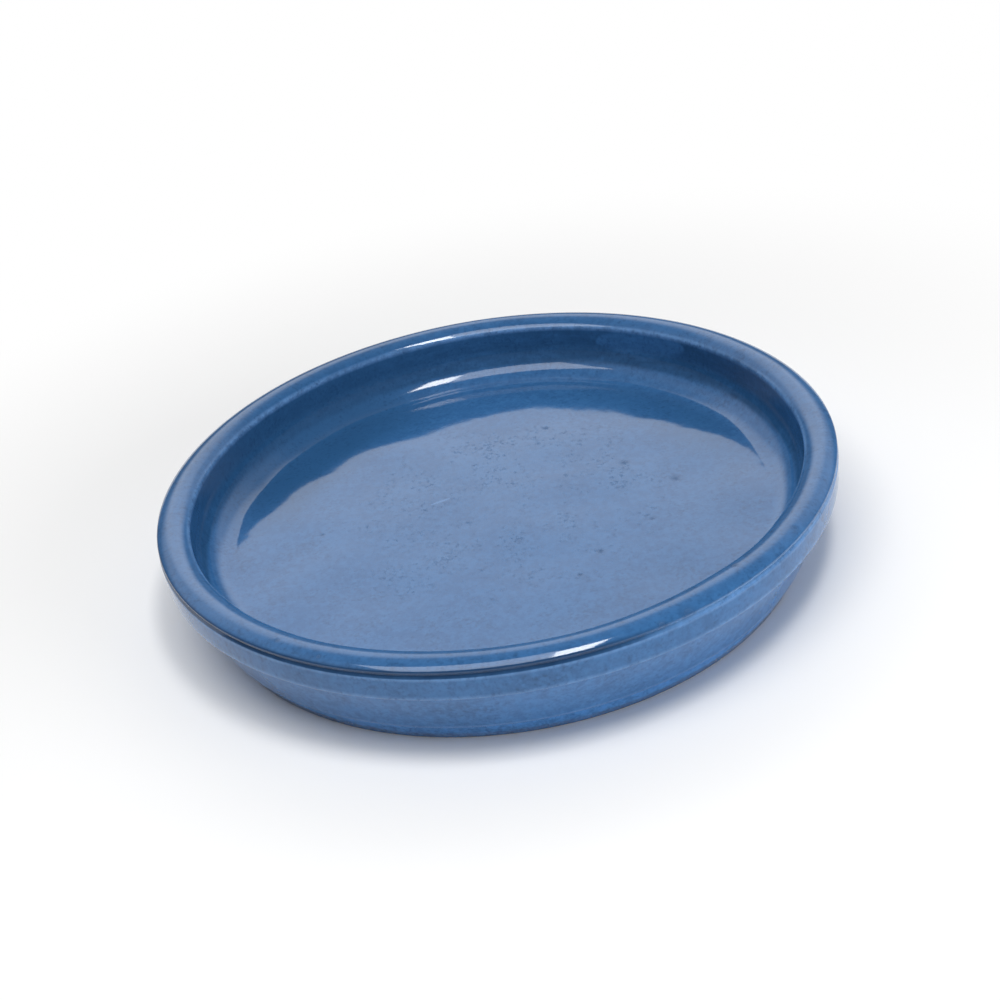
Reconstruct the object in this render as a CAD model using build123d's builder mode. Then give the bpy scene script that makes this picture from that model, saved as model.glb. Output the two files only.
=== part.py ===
# Round glazed plant saucer: a thrown clay dish with a thick collar round its rim, a stepped
# outside and a turned foot ring, and the glass coat fused over all of it but the underside.
# The origin is on the table under the middle of the dish, +Z is up, lengths are millimetres.
import os

from build123d import *

# Depths of the clay, which stack up from the table
recess_depth = 10.0  # hollow under the floor, inside the foot ring
floor_thickness = 7.5
inside_depth = 20.8  # floor to the lip, the inner edge of the rim

# Rim and collar
rim_radius = 129.6  # outside of the rim and of the collar, before their edges are rounded
lip_inset = 11.5  # the lip stands in from the outside
crest_inset = 6.1  # the two slopes of the rim would meet this far in, before the crest is rounded
crest_rise = 5.6  # and this far above the lip
crest_fall = 4.8  # and this far above the rim's outer edge
lip_rounding = 1.0
crest_rounding = 8.0
rim_edge_rounding = 0.4
line_depth = 1.0  # turned line between the rim and the collar
line_drop = 0.8  # the rim's outer edge to the bottom of the turned line
line_rise = 1.7  # the top edge of the collar to the bottom of the turned line
line_rounding = 0.8
collar_top_rounding = 1.0
collar_height = 8.3  # top edge of the collar to its lower edge
collar_taper = 0.3  # the collar's face leans in by this much at its lower edge
collar_step = 3.0  # the wall stands in from the collar's lower edge
collar_undercut = 1.0  # the underside of the collar falls by this much towards the wall

# Inside of the dish
inside_lean = 0.7  # the wall leans in by this much between the lip and the floor
cove_radius = 13.5  # hollow curve between the wall and the floor

# Outside wall, ridge and foot ring
wall_lean = 7.7  # the wall leans in by this much between the collar and the ridge
ridge_height = 8.2  # table to the ridge above the foot
ridge_step = 2.0  # the foot stands in from the ridge
ridge_undercut = 1.6  # the underside of the ridge falls by this much towards the foot
foot_lean = 2.6  # the foot leans in by this much down to the table
foot_width = 12.0  # the ring's bearing face and its two rounded edges
foot_draft = 1.5  # the ring's inner side leans in by this much up to the floor
foot_edge_rounding = 0.8
recess_rounding = 3.0

# Corners of the outside
edge_rounding = 0.6
groove_rounding = 1.5

# Glaze
glaze_thickness = 0.5
glaze_line = 0.8  # table to the lower edge of the glaze, wiped off the foot below it

# Places worked out from the sizes
underside_z = recess_depth
floor_z = underside_z + floor_thickness
lip_z = floor_z + inside_depth
lip_radius = rim_radius - lip_inset
floor_corner_radius = lip_radius - inside_lean
crest_z = lip_z + crest_rise
crest_radius = rim_radius - crest_inset
rim_edge_z = crest_z - crest_fall
line_z = rim_edge_z - line_drop
line_radius = rim_radius - line_depth
collar_top_z = line_z - line_rise
collar_edge_z = collar_top_z - collar_height
collar_edge_radius = rim_radius - collar_taper
wall_top_radius = collar_edge_radius - collar_step
wall_top_z = collar_edge_z - collar_undercut
ridge_radius = wall_top_radius - wall_lean
foot_top_radius = ridge_radius - ridge_step
foot_top_z = ridge_height - ridge_undercut
foot_radius = foot_top_radius - foot_lean
foot_inner_radius = foot_radius - foot_width
recess_radius = foot_inner_radius - foot_draft
glaze_edge_radius = foot_radius + foot_lean * glaze_line / foot_top_z

# Half section of the clay's glazed side, from the middle of the floor over the rim to the foot
glazed_side = (
    (0, floor_z),
    (floor_corner_radius, floor_z),
    (lip_radius, lip_z),
    (crest_radius, crest_z),
    (rim_radius, rim_edge_z),
    (line_radius, line_z),
    (rim_radius, collar_top_z),
    (collar_edge_radius, collar_edge_z),
    (wall_top_radius, wall_top_z),
    (ridge_radius, ridge_height),
    (foot_top_radius, foot_top_z),
    (glaze_edge_radius, glaze_line),
)
glazed_side_roundings = (
    cove_radius,
    lip_rounding,
    crest_rounding,
    rim_edge_rounding,
    line_rounding,
    collar_top_rounding,
    edge_rounding,
    groove_rounding,
    edge_rounding,
    groove_rounding,
)

# Half section of the bare side, from the edge of the glaze round the foot ring to the middle
bare_side = (
    (glaze_edge_radius, glaze_line),
    (foot_radius, 0),
    (foot_inner_radius, 0),
    (recess_radius, underside_z),
    (0, underside_z),
)
bare_side_roundings = (foot_edge_rounding, foot_edge_rounding, recess_rounding)

os.makedirs("parts", exist_ok=True)

# Clay body: one thrown piece, its foot ring turned and its underside hollowed out
with BuildPart() as clay_body:
    with BuildSketch(Plane.XZ):
        with BuildLine():
            FilletPolyline(*glazed_side, radius=glazed_side_roundings)
            FilletPolyline(*bare_side, radius=bare_side_roundings)
            Line((0, underside_z), (0, floor_z))
        make_face()
    revolve(axis=Axis.Z)
clay_body.part.label = "clay_body"
export_step(clay_body.part, "parts/clay_body.step")

# Glaze coat: a skin of even thickness on the glazed side, which ends in a square edge on the foot
with BuildPart() as glaze_coat:
    with BuildSketch(Plane.XZ):
        with BuildLine():
            FilletPolyline(*glazed_side, radius=glazed_side_roundings)
            offset(amount=glaze_thickness, side=Side.LEFT)
        make_face()
    revolve(axis=Axis.Z)
glaze_coat.part.label = "glaze_coat"
export_step(glaze_coat.part, "parts/glaze_coat.step")
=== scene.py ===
import math

import bpy
from mathutils import Matrix, Vector


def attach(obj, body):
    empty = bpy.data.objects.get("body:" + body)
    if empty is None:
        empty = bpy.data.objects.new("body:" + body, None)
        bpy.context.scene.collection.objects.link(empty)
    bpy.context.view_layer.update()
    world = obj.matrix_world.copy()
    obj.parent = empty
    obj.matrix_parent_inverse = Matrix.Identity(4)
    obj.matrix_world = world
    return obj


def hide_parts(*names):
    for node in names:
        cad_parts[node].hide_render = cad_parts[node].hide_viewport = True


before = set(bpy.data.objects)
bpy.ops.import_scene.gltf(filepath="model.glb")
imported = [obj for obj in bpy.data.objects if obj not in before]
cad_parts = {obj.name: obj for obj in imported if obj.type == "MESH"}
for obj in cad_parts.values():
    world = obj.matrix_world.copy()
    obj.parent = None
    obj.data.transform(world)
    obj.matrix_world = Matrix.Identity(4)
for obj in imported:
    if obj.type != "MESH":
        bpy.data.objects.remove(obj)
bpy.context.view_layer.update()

# Clay body
# The dish itself: one lump of buff stoneware thrown on a wheel. Its foot ring and the hollow under
# its floor are turned when leather-hard, and only they stay bare of glaze.
pole_floor = (0.0, 0.0175)  # each corner of the half section is a radius and a height
cove = (0.1174, 0.0175)
lip = (0.1181, 0.0383)
crest = (0.1235, 0.0439)
rim_edge = (0.1296, 0.0391)
turned_line = (0.1286, 0.0383)
collar_top = (0.1296, 0.0366)
collar_edge = (0.1293, 0.0283)
collar_groove = (0.1263, 0.0273)
ridge = (0.1186, 0.0082)
ridge_groove = (0.1166, 0.0066)
glaze_edge = (0.1142, 0.0004)
foot_outer = (0.1140, 0.0)
foot_inner = (0.1020, 0.0)
recess = (0.1005, 0.0100)
pole_recess = (0.0, 0.0100)
roundings = {
    cove: (0.0135, 24),  # radius of the rounding, and the steps that it is drawn in
    lip: (0.0010, 6),
    crest: (0.0080, 22),
    rim_edge: (0.0004, 5),
    turned_line: (0.0008, 6),
    collar_top: (0.0010, 4),
    collar_edge: (0.0006, 5),
    collar_groove: (0.0015, 5),
    ridge: (0.0006, 5),
    ridge_groove: (0.0015, 5),
    foot_outer: (0.0004, 4),
    foot_inner: (0.0008, 4),
    recess: (0.0030, 6),
}
inside = (pole_floor, cove, lip, crest)
collar = (rim_edge, turned_line, collar_top, collar_edge, collar_groove)
foot = (ridge, ridge_groove, glaze_edge)
glazed_side = inside + collar + foot
bare_side = (foot_outer, foot_inner, recess, pole_recess)
floor_crown = 0.0005  # the middle of the floor stands up by this much
crown_reach = 0.110  # and what is raised round it fades out over this length
same_place = 1e-6  # points that are closer than this are one point
clay_spacing = 0.005  # edges along the section are about this long
clay_steps = 192  # and the section is drawn this many times round the axis


def select_points(piece, wanted):
    """Leaves just those vertices of a mesh selected whose place passes a test."""
    for element in (*piece.data.vertices, *piece.data.edges, *piece.data.polygons):
        element.select = False
    for vertex in piece.data.vertices:
        vertex.select = wanted(vertex.co)


def throw_on_wheel(name, corners, spacing, steps):
    """Draws a half section corner by corner, rounds its corners and spins it about the dish's axis."""
    bpy.ops.object.select_all(action="DESELECT")
    bpy.ops.mesh.primitive_plane_add(size=spacing)
    piece = bpy.context.object
    piece.name = name
    bpy.ops.object.mode_set(mode="EDIT")
    bpy.ops.mesh.merge(type="CENTER")
    bpy.ops.transform.translate(value=(corners[0][0], 0, corners[0][1]))
    for (radius, height), (next_radius, next_height) in zip(corners, corners[1:]):
        step = (next_radius - radius, 0, next_height - height)
        bpy.ops.mesh.extrude_vertices_move(TRANSFORM_OT_translate={"value": step})
    for before, corner, after in zip(corners, corners[1:], corners[2:]):
        if corner not in roundings:
            continue
        radius, segments = roundings[corner]
        turn = (Vector(corner) - Vector(before)).angle(Vector(after) - Vector(corner))
        bpy.ops.object.mode_set(mode="OBJECT")
        select_points(piece, lambda place: math.dist((place.x, place.z), corner) < same_place)
        bpy.ops.object.mode_set(mode="EDIT")
        tangent = radius * math.tan(turn / 2)
        bpy.ops.mesh.bevel(offset_type="OFFSET", offset=tangent, segments=segments, affect="VERTICES")
    bpy.ops.object.mode_set(mode="OBJECT")
    mesh = piece.data
    ends = [[mesh.vertices[i].co.copy() for i in edge.vertices] for edge in mesh.edges]
    for start, end in ends:
        cuts = round((end - start).length / spacing) - 1
        if cuts < 1:
            continue
        select_points(piece, lambda place: min((place - start).length, (place - end).length) < same_place)
        bpy.ops.object.mode_set(mode="EDIT")
        bpy.ops.mesh.subdivide(number_cuts=cuts)
        bpy.ops.object.mode_set(mode="OBJECT")
    bpy.ops.object.mode_set(mode="EDIT")
    bpy.ops.mesh.select_all(action="SELECT")
    bpy.ops.mesh.spin(steps=steps, angle=2 * math.pi, center=(0, 0, 0), axis=(0, 0, 1))
    bpy.ops.mesh.select_all(action="SELECT")
    bpy.ops.mesh.remove_doubles(threshold=same_place)
    bpy.ops.mesh.normals_make_consistent(inside=False)
    bpy.ops.object.mode_set(mode="OBJECT")
    select_points(piece, lambda place: math.dist(place, (0, 0, pole_floor[1])) < same_place)
    bpy.ops.object.mode_set(mode="EDIT")
    bpy.ops.transform.translate(
        value=(0, 0, floor_crown),
        use_proportional_edit=True,
        use_proportional_connected=True,
        proportional_edit_falloff="SMOOTH",
        proportional_size=crown_reach,
    )
    bpy.ops.object.mode_set(mode="OBJECT")
    bpy.ops.object.shade_smooth()
    return piece


class Shade:
    """A socket of a material's nodes. Arithmetic on it adds the Math nodes that work it out."""

    def __init__(self, tree, socket=None):
        self.tree = tree
        self.socket = socket

    def node(self, kind, settings, sockets, output=0):
        """Any node: its settings are set first, then its sockets take values or links."""
        made = self.tree.nodes.new("ShaderNode" + kind)
        for name, value in settings.items():
            setattr(made, name, value)
        for name, value in sockets.items():
            if isinstance(value, Shade):
                self.tree.links.new(value.socket, made.inputs[name])
            else:
                made.inputs[name].default_value = value
        return Shade(self.tree, made.outputs[output])

    def math(self, operation, first, second):
        return self.node("Math", {"operation": operation}, {0: first, 1: second})

    def __add__(self, other):
        return self.math("ADD", self, other)

    def __sub__(self, other):
        return self.math("SUBTRACT", self, other)

    def __rsub__(self, other):
        return self.math("SUBTRACT", other, self)

    def __mul__(self, other):
        return self.math("MULTIPLY", self, other)

    def __pow__(self, power):
        return self.math("POWER", self, power)

    __radd__ = __add__
    __rmul__ = __mul__


def new_finish(name):
    """A material with its surface shader and the place on the object that its patterns follow."""
    material = bpy.data.materials.new(name)
    material.use_nodes = True
    tree = material.node_tree
    return material, tree.nodes["Principled BSDF"], Shade(tree).node("TexCoord", {}, {}, "Object")


def noise(place, size, detail=2.0, rough=0.5):
    """Cloudy value from 0 to 1 with lumps of about that size, in metres."""
    sockets = {"Vector": place, "Scale": 1 / size, "Detail": detail, "Roughness": rough}
    return place.node("TexNoise", {}, sockets)


def ramp(value, low, high):
    """0 at low, 1 at high and smooth between them."""
    limits = {"From Min": low, "From Max": high, "Value": value}
    return value.node("MapRange", {"interpolation_type": "SMOOTHSTEP"}, limits)


def mix(factor, first, second):
    """One colour turned into another by a factor."""
    return factor.node("Mix", {"data_type": "RGBA"}, {"Factor": factor, 6: first, 7: second}, 2)


def feed(surface, name, value):
    """Links a value to a socket of the surface shader."""
    value.tree.links.new(value.socket, surface.inputs[name])


clay_body = throw_on_wheel("clay_body_bare", glazed_side + bare_side, clay_spacing, clay_steps)
buff = (0.46, 0.31, 0.20, 1)
toasted = (0.36, 0.20, 0.11, 1)
iron_speck = (0.10, 0.055, 0.035, 1)
toast_size = 0.03
iron_size = 0.0009
grit_size = 0.0006
grit_height = 0.0003
clay_finish, clay_surface, place = new_finish("fired_clay")
clay_body.data.materials.append(clay_finish)
clay_colour = mix(ramp(noise(place, toast_size, 4), 0.35, 0.7), buff, toasted)
clay_colour = mix(ramp(noise(place, iron_size), 0.68, 0.74), clay_colour, iron_speck)
feed(clay_surface, "Base Color", clay_colour)
grit = noise(place, grit_size, 3)
feed(clay_surface, "Roughness", 0.8 + 0.15 * grit)
gritty = place.node("Bump", {}, {"Strength": 0.4, "Distance": grit_height, "Height": grit}, "Normal")
feed(clay_surface, "Normal", gritty)
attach(clay_body, "root")
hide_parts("clay_body")

# Glaze coat
# A skin of blue glass, half a millimetre thick, fused over the inside, the rim and the outside.
# The dish was dipped, so the coat is even. Its colour is painted paler outside as painted light, darker
# on the inner wall, the rim, round the back of the floor and under the rim's edge as painted shade, and
# paler on sharp edges, partly thin glaze and partly painted highlight.
glaze_thickness = 0.0005
glaze_spacing = 0.0028
glaze_steps = 288
wave_size = 0.03
wave_height = 0.0007
waves_start = 0.1185  # they fade out over the rim, from this radius
waves_end = 0.1265  # to this one
glaze_coat = throw_on_wheel("glaze_coat_skin", glazed_side, glaze_spacing, glaze_steps)
within = glaze_coat.vertex_groups.new(name="within_the_rim")
for vertex in glaze_coat.data.vertices:
    from_axis = math.hypot(vertex.co.x, vertex.co.y)
    weight = min(max((waves_end - from_axis) / (waves_end - waves_start), 0), 1)
    is_dish = from_axis < waves_start and vertex.co.z > pole_floor[1] - glaze_thickness
    is_rim = vertex.co.z > lip[1]
    within.add([vertex.index], weight * (is_dish or is_rim), "REPLACE")
waves = bpy.data.textures.new("waves", "CLOUDS")
waves.noise_scale = wave_size
waves.noise_depth = 0
flow = glaze_coat.modifiers.new("flow", "DISPLACE")
flow.texture = waves
flow.vertex_group = within.name
flow.texture_coords = "LOCAL"
flow.strength = wave_height
bpy.ops.object.modifier_apply(modifier=flow.name)
skin = glaze_coat.modifiers.new("skin", "SOLIDIFY")
skin.thickness = glaze_thickness
skin.offset = 1
skin.use_even_offset = True
bpy.ops.object.modifier_apply(modifier=skin.name)

deep_blue = (0.010, 0.044, 0.120, 1)
shaded_wall_blue = (0.022, 0.088, 0.215, 1)
dull_blue = (0.0330, 0.123, 0.306, 1)
glaze_blue = (0.0440, 0.157, 0.372, 1)
shaded_rim_blue = (0.038, 0.140, 0.338, 1)
lit_collar_blue = (0.044, 0.162, 0.390, 1)
lit_outer_blue = (0.050, 0.184, 0.443, 1)
lit_foot_blue = (0.075, 0.265, 0.620, 1)
pale_blue = (0.130, 0.290, 0.580, 1)
glaze_finish, glaze_surface, place = new_finish("blue_glaze")
glaze_coat.data.materials.append(glaze_finish)
glass_ior = 1.5
glaze_surface.inputs["IOR"].default_value = glass_ior
side = place.node("SeparateXYZ", {}, {"Vector": place}, "X")
depth = place.node("SeparateXYZ", {}, {"Vector": place}, "Y")
height = place.node("SeparateXYZ", {}, {"Vector": place}, "Z")
radius = (side * side + depth * depth) ** 0.5
section = place.node("CombineXYZ", {}, {"X": radius, "Z": height})
squeeze = 0.2  # streaks on the walls are five times as long as they are high
around = place.node("CombineXYZ", {}, {"X": squeeze * side, "Y": squeeze * depth, "Z": height})


def distance(spot, point):
    """How far a spot of the surface lies from a fixed point."""
    return spot.node("VectorMath", {"operation": "DISTANCE"}, {0: spot, 1: point}, "Value")


def beside(corner, reach):
    """1 on the circle that a corner of the section draws, and 0 further from it than a reach."""
    return 1 - ramp(distance(section, (corner[0], 0, corner[1])), 0, reach)


def way_over(spot, ends):
    """The way from one point to another over a spot, which is the same all along an oval."""
    return distance(spot, ends[0]) + distance(spot, ends[1])


def band(lower, upper, outward):
    """1 between a lower and an upper border and out from a radius. All three borders are soft."""
    return ramp(height, *lower) * (1 - ramp(height, *upper)) * ramp(radius, *outward)


# Zones of the glaze. Each soft border is a pair of radii or heights, from none of a zone to all of it.
wall_heights = (0.0218, 0.0238)  # from the top of the cove
rim_heights = (0.0365, 0.0385)
collar_heights = (0.0275, 0.0285)
ridge_heights = (0.0070, 0.0085)
floor_heights = (0.0160, 0.0172)  # what lies lower is outside
inside_radii = (0.1176, 0.1184)
outside_radii = (0.1182, 0.1190)
flat_radii = (0.055, 0.080)
inside_wall = (1 - ramp(radius, *inside_radii)) * ramp(height, *wall_heights)
rolled_rim = ramp(height, *rim_heights)
below_floor = 1 - ramp(height, *floor_heights)
outer_side = place.math("MAXIMUM", ramp(radius, *outside_radii), below_floor) * (1 - rolled_rim)
flat_floor = 1 - ramp(radius, *flat_radii)

# Mottled blue, in a shade of its own for each zone: paler outside and palest at the foot as painted
# light, darker on the inner wall and the rim as painted shade
cloud_size = 0.025
mottle_size = 0.0035
streak_size = 0.0024
grain_size = 0.0011
cloud = noise(place, cloud_size, 5, 0.6)
mottle = noise(place, mottle_size, 3, 0.6)
streak = noise(around, streak_size, 3)
grain = noise(place, grain_size, 2)
tone = ramp(0.3 * cloud + 0.5 * mottle + 0.2 * grain, 0.38, 0.62)
glaze_colour = mix(tone, dull_blue, glaze_blue)
# Painted shade: the rim is darker than the floor
glaze_colour = mix(rolled_rim * (0.6 + 0.4 * tone), glaze_colour, shaded_rim_blue)
# Painted light: the collar, the outer wall and most of all the foot are paler than the glaze inside
lit_outer_colour = mix(ramp(height, *collar_heights), lit_outer_blue, lit_collar_blue)
lit_outer_colour = mix(ramp(height, *ridge_heights), lit_foot_blue, lit_outer_colour)
glaze_colour = mix(outer_side * (0.6 + 0.4 * tone), glaze_colour, lit_outer_colour)
# Painted shade: the inner wall is darker than the floor, with streaks through it
glaze_colour = mix(inside_wall * (1.5 - 1.2 * streak), glaze_colour, shaded_wall_blue)

# Painted shadow of the wall round the back of the floor, and a painted reflection: a pale patch high on
# the back right of the inner wall
wall_shadow_radii = (0.070, 0.095)
wall_shadow_depths = (0.0, 0.05)
left_sides = (0.0, 0.06)
right_sides = (0.0, 0.08)
right_end_radii = (0.100, 0.110)
reflection_ends = ((0.054, 0.1040, 0.0325), (0.087, 0.0780, 0.0345))
reflection_ways = (0.0450, 0.0475)
reflection_fray = 0.005
# Painted shadow that the wall casts on the back of the floor, darker at the left
painted_wall_shadow = ramp(radius, *wall_shadow_radii) * ramp(depth, *wall_shadow_depths) * (1 - 0.5 * rolled_rim - outer_side)
wall_shadow_left = 0.9 * ramp(0 - side, *left_sides)
wall_shadow_right = 0.5 * ramp(side, *right_sides) * (1 - ramp(radius, *right_end_radii))
painted_wall_shadow = painted_wall_shadow * (wall_shadow_left + wall_shadow_right)
glaze_colour = mix(painted_wall_shadow * (0.7 + 0.6 * cloud), glaze_colour, shaded_wall_blue)
# Painted reflection: a pale patch high on the back right of the inner wall
painted_reflection = inside_wall * (1 - ramp(way_over(place, reflection_ends) + reflection_fray * streak, *reflection_ways))
glaze_colour = mix(painted_reflection * (0.4 + streak), glaze_colour, glaze_blue)

# Pale edges, partly thin glaze and partly painted highlight, and the turned line: painted shade on it at
# the front and the left, painted light on it at the right; the groove under the collar gets painted shade
# too
thin_and_highlit_edges = ((collar_top, 0.0013), (collar_edge, 0.0018), (ridge, 0.0016))
lip_reach = 0.0018
groove_reach = 0.002
shelf_light_sides = (0.030, 0.060)
shade_line_sides = (0.020, 0.060)
# Paler on the lip and on three outside edges: partly thin glaze, partly painted highlight
thin_glaze_and_highlight = 1.3 * beside(lip, lip_reach)
for edge, reach in thin_and_highlit_edges:
    thin_glaze_and_highlight = thin_glaze_and_highlight + beside(edge, reach)
glaze_colour = mix(thin_glaze_and_highlight * (0.5 + 0.6 * cloud), glaze_colour, pale_blue)
# Painted light on the turned line at the right, against its shadow there
painted_shelf_light = band((0.0368, 0.0372), (0.0387, 0.0392), (0.1275, 0.1285))
glaze_colour = mix(painted_shelf_light * ramp(side, *shelf_light_sides), glaze_colour, pale_blue)
# Painted shade along the turned line at the front and the left, and in the groove under the collar
painted_shade_line = band((0.0367, 0.0371), (0.0395, 0.0403), (0.1270, 0.1280))
painted_shade_bands = painted_shade_line * (1 - ramp(side, *shade_line_sides)) + 0.5 * beside(collar_groove, groove_reach)
glaze_colour = mix(painted_shade_bands * (0.5 + 0.7 * streak), glaze_colour, deep_blue)

# Dark specks in loose groups, pinholes and one short scrape
speck_size = 0.0016
group_size = 0.014
floor_top = 0.0182
pinholes = (  # the middle of each, and how far it reaches
    ((0.0340, -0.0400, floor_top), 0.0022),
    ((0.0520, 0.0205, floor_top), 0.0034),
    ((0.0695, 0.0025, floor_top), 0.0036),
    ((0.0561, -0.0242, floor_top), 0.0017),
    ((-0.0702, 0.0042, floor_top), 0.0018),
    ((0.0248, -0.0535, floor_top), 0.0016),
    ((0.0244, 0.0600, floor_top), 0.0024),
    ((-0.0805, -0.0965, 0.0415), 0.0018),
    ((-0.0666, -0.1090, 0.0410), 0.0018),
    ((0.0742, -0.0975, 0.0415), 0.0024),
    ((0.0984, -0.0809, 0.0410), 0.0026),
    ((0.0455, -0.1218, 0.0396), 0.0030),
    ((0.0552, -0.1180, 0.0400), 0.0048),
)
scrape_ends = ((-0.0269, 0.0124, 0.0184), (-0.0187, 0.0152, 0.0184))
scrape_ways = (0.00867, 0.00885)
specks = ramp(noise(place, speck_size, 3, 0.6) + 0.35 * noise(place, group_size, 2), 0.66, 0.94)
# Painted shade over the outside, the rim and the inner wall, deepest where the glaze tone is dullest
shaded = (0.25 - 0.25 * tone) * (outer_side + rolled_rim + inside_wall)
glaze_colour = mix(shaded + 0.35 * specks, glaze_colour, deep_blue)
pits = sum(1 - ramp(distance(place, middle), 0, reach) for middle, reach in pinholes)
glaze_colour = mix(pits * (0.1 + 0.7 * grain), glaze_colour, deep_blue)
scrape = 0.5 - 0.5 * ramp(way_over(place, scrape_ends), *scrape_ways)
glaze_colour = mix(scrape, glaze_colour, pale_blue)

# Glossy but for specks and pinholes, over faint ripples
ripple_size = 0.008
ripple_height = 0.00005
feed(glaze_surface, "Base Color", glaze_colour)
feed(glaze_surface, "Roughness", 0.05 + 0.05 * grain + 0.33 * specks * flat_floor + 0.3 * pits)
ripple = noise(place, ripple_size, 1)
uneven = place.node("Bump", {}, {"Distance": ripple_height, "Height": ripple - pits}, "Normal")
feed(glaze_surface, "Normal", uneven)
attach(glaze_coat, "root")
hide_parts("glaze_coat")

# Table
# A plain white table top that the saucer stands on, wide enough to fill the view from the front. Away
# from the saucer and its shadow, the eye and mirrors see it fade to an even white that lights nothing.
table_size = 12
table_white = (0.95, 0.95, 0.95, 1)
full_white = (1, 1, 1, 1)
black = (0, 0, 0, 1)
fade_start = 0.15
fade_end = 0.38
bpy.ops.object.select_all(action="DESELECT")
bpy.ops.mesh.primitive_plane_add(size=table_size)
table = bpy.context.object
table.name = "table"
table_finish, table_surface, place = new_finish("white_table")
table_finish.cycles.emission_sampling = "NONE"
seeing_rays = ("Is Camera Ray", "Is Glossy Ray", "Is Transmission Ray")
seen = sum(place.node("LightPath", {}, {}, ray) for ray in seeing_rays)
fade = seen * ramp(distance(place, (0, 0, 0)), fade_start, fade_end)
feed(table_surface, "Base Color", mix(fade, table_white, black))
feed(table_surface, "Emission Color", mix(fade, black, full_white))
table_surface.inputs["Emission Strength"].default_value = 1
table_surface.inputs["Roughness"].default_value = 0.9
table_surface.inputs["Specular IOR Level"].default_value = 0
table.data.materials.append(table_finish)

# Studio lights
# One bright strip and one broad panel overhead, a wall behind the saucer that glows softly and that
# its floor mirrors, a faint glow at the left, and a fill from the right with no reflection of its own.
world = bpy.data.worlds.new("studio")
bpy.context.scene.world = world
world.use_nodes = True
air = world.node_tree.nodes["Background"]
air.inputs["Color"].default_value = full_white
room_light = 0.15
wall_light = 1.6
side_light = 0.4
wall_behinds = (-0.35, 0.65)  # each border is a pair of parts of a direction's unit length
wall_foot = (0.20, 0.45)
wall_head = (0.62, 0.82)
wall_ends = (0.03, 0.20)  # this pair is squared
side_start = (0.2, 0.6)
side_foot = (0.5, 0.8)
towards = Shade(world.node_tree).node("TexCoord", {}, {}, "Generated")
across = towards.node("SeparateXYZ", {}, {"Vector": towards}, "X")
behind = towards.node("SeparateXYZ", {}, {"Vector": towards}, "Y")
above = towards.node("SeparateXYZ", {}, {"Vector": towards}, "Z")
wall_glow = wall_light * ramp(behind, *wall_behinds) ** 3 * ramp(above, *wall_foot)
wall_glow = wall_glow * (1 - 0.5 * ramp(across * across, *wall_ends))
wall_glow = wall_glow * (1 - 0.85 * ramp(above, *wall_head))
side_glow = side_light * ramp(0 - across, *side_start) * ramp(above, *side_foot)
glow = room_light + wall_glow + side_glow
world.node_tree.links.new(glow.socket, air.inputs["Strength"])


def hang_panel(name, location, turn, size, radiance, mirrored=True):
    """A flat lamp that glows evenly with a given radiance."""
    lamp = bpy.data.lights.new(name, "AREA")
    lamp.shape = "RECTANGLE"
    lamp.size, lamp.size_y = size
    lamp.energy = radiance * math.pi * size[0] * size[1]
    holder = bpy.data.objects.new(name, lamp)
    bpy.context.scene.collection.objects.link(holder)
    holder.location = location
    holder.rotation_euler = turn
    holder.visible_glossy = mirrored


straight_down = (0, 0, 0)
to_the_left = (math.radians(75), 0, math.radians(55))
hang_panel("overhead_strip", (0.21, -0.36, 1.2), straight_down, size=(0.2, 0.42), radiance=20)
hang_panel("overhead_panel", (-0.28, -0.36, 1.2), straight_down, size=(0.76, 0.62), radiance=3.9)
hang_panel("right_fill", (1.4, -1.0, 0.45), to_the_left, size=(1.2, 0.9), radiance=4.0, mirrored=False)

# Camera
# It stands at the photograph's place: above and in front of the dish, turned a little to one side.
aim_height = 0.0421
camera_elevation = math.radians(30.97)
camera_roll = math.radians(-9.52)
camera_distance = 0.6497
camera_offset = (0.0006, -0.0164)  # right and up, from looking straight at the middle of the rim
focal_length = 61.2  # millimetres, as is the sensor's width
sensor_width = 36
camera_data = bpy.data.cameras.new("camera")
camera_data.lens = focal_length
camera_data.sensor_width = sensor_width
camera = bpy.data.objects.new("camera", camera_data)
bpy.context.scene.collection.objects.link(camera)
aim = Matrix.Rotation(math.pi / 2 - camera_elevation, 4, "X")
stand = aim @ Vector((*camera_offset, camera_distance)) + Vector((0, 0, aim_height))
camera.matrix_world = Matrix.Translation(stand) @ aim @ Matrix.Rotation(camera_roll, 4, "Z")
bpy.context.scene.camera = camera
bpy.context.scene.view_settings.view_transform = "Standard"
